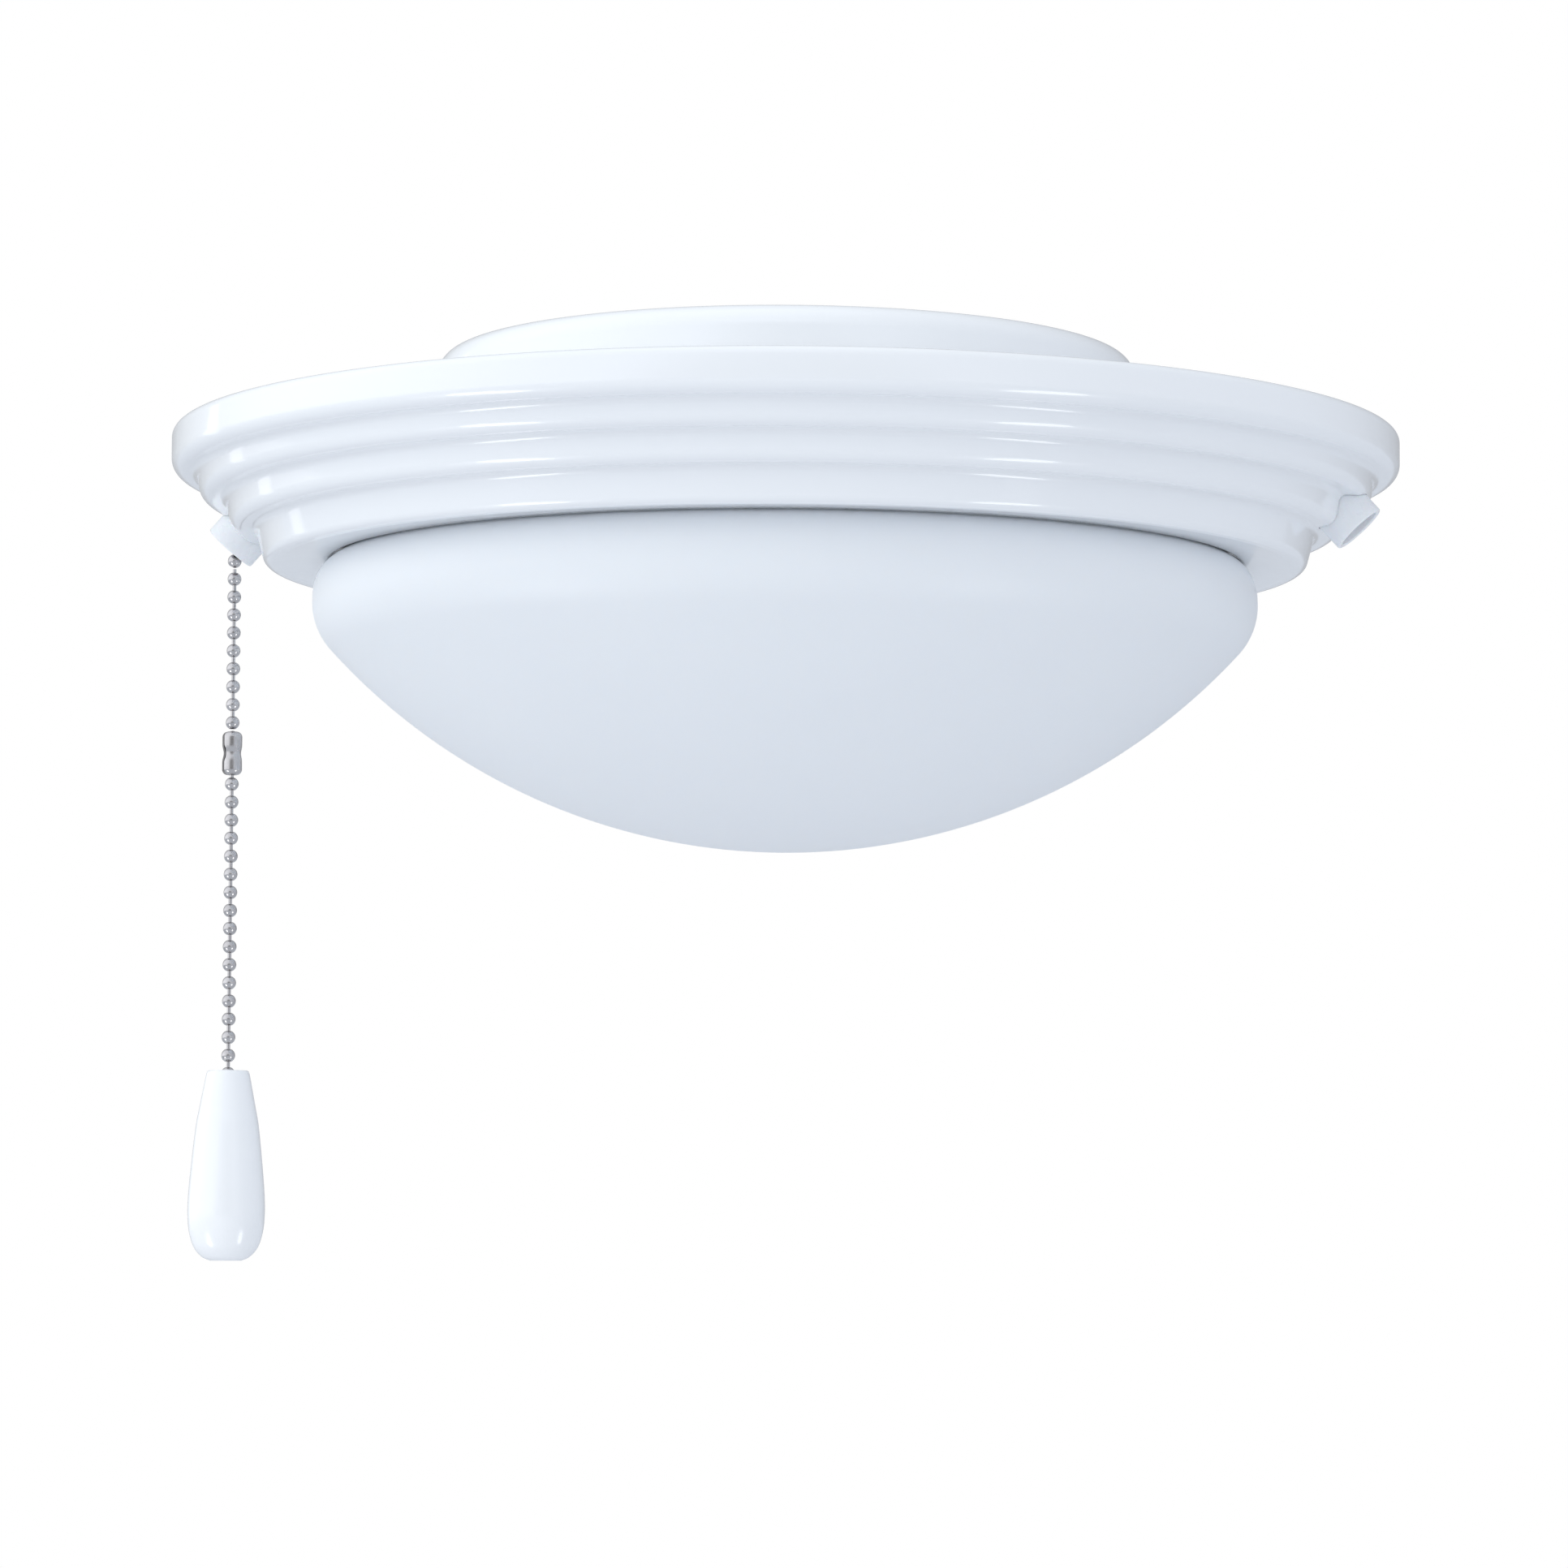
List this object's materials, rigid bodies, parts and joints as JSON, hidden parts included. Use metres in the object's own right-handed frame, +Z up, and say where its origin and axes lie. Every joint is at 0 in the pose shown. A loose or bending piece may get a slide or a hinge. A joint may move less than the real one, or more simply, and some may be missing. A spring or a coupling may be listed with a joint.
{
  "type": "ceiling fan light kit",
  "caption": "Low-profile ceiling fan light kit: stepped round pan with a mounting cup, twist-lock opal bowl, lampholders inside and a beaded pull chain with a turned knob.",
  "frame": {"origin": "middle of the cup's top face, which seats under the fan", "axes": "+Z up along the kit's axis; the light's own chain outlet lies at -X and the empty outlet at +X"},
  "size_m": [0.2802, 0.2802, 0.216],
  "materials": {
    "enamel": "gloss white enamel on pressed steel",
    "opal": "satin opal glass",
    "white_plastic": "semi-gloss white moulding",
    "nickel": "nickel-plated beaded chain",
    "zinc": "zinc-plated steel",
    "brass": "bright brass",
    "aluminium": "plain",
    "porcelain": "glazed porcelain",
    "phenolic": "black phenolic moulding",
    "green_screw": "green dyed steel",
    "rubber": "matte",
    "lead_white": "insulation",
    "lead_black": "insulation",
    "connector": "crimped closed-end connector",
    "bulb_white": "white-coated lamp glass"
  },
  "bodies": {
    "housing": {"canopy": "enamel", "fitter_pan": "enamel", "ferrule_left": "white_plastic", "ferrule_right": "white_plastic", "chain_guide": "white_plastic", "mounting_nipple": "zinc", "fan_locknut": "zinc", "lock_washer": "zinc", "cup_nut": "zinc", "deck_nut_upper": "zinc", "deck_nut_lower": "zinc", "switch_bracket": "zinc", "guide_bracket": "zinc", "glass_tab_1": "zinc", "glass_tab_2": "zinc", "glass_tab_3": "zinc", "lampholder_strap_a": "zinc", "lampholder_strap_b": "zinc", "lampholder_nut_a": "zinc", "lampholder_nut_b": "zinc", "strap_screw_1": "zinc", "strap_screw_2": "zinc", "screw_shell_a": "brass", "screw_shell_b": "brass", "centre_contact_a": "brass", "centre_contact_b": "brass", "bracket_rivet_1": "aluminium", "bracket_rivet_2": "aluminium", "tab_rivet_1": "aluminium", "tab_rivet_2": "aluminium", "tab_rivet_3": "aluminium", "bulb_cap_a": "aluminium", "bulb_cap_b": "aluminium", "lampholder_a": "porcelain", "lampholder_b": "porcelain", "pull_switch": "phenolic", "ground_screw": "green_screw", "lead_grommet": "rubber", "switch_lead_1": "lead_white", "switch_lead_2": "lead_white", "lampholder_lead_a": "lead_black", "lampholder_lead_b": "lead_black", "wire_connector_1": "connector", "wire_connector_2": "connector", "bulb_glass_a": "bulb_white", "bulb_glass_b": "bulb_white"},
    "glass": {"glass_bowl": "opal"},
    "chain_tail_body": {"chain_tail": "nickel"},
    "upper_strand": {"chain_upper": "nickel"},
    "lower_strand": {"chain_link_end": "nickel", "chain_coupling": "nickel", "chain_lower": "nickel"},
    "knob": {"pull_knob": "white_plastic"}
  },
  "joints": [
    {"name": "glass_twist", "type": "hinge", "parent": "housing", "child": "glass", "pos_m": [0, 0, 0], "axis": [0, 0, -1], "range_deg": [0, 25]},
    {"name": "chain_pull", "type": "slide", "parent": "housing", "child": "chain_tail_body", "axis": [-0.5, 0, -0.866], "range_m": [0, 0.008], "stiffness_N_per_m": 800, "springref_m": -0.005},
    {"name": "chain_swing", "type": "hinge", "parent": "chain_tail_body", "child": "upper_strand", "pos_m": [-0.1302, 0, -0.0446], "axis": [0, 1, 0], "range_deg": [-30, 30]},
    {"name": "chain_sway", "type": "hinge", "parent": "upper_strand", "child": "lower_strand", "pos_m": [-0.1302, 0, -0.0824], "axis": [1, 0, 0], "range_deg": [-30, 30]},
    {"name": "knob_swivel", "type": "hinge", "parent": "lower_strand", "child": "knob", "pos_m": [-0.1302, 0, -0.1632], "axis": [0, 0, 1], "continuous": true}
  ]
}
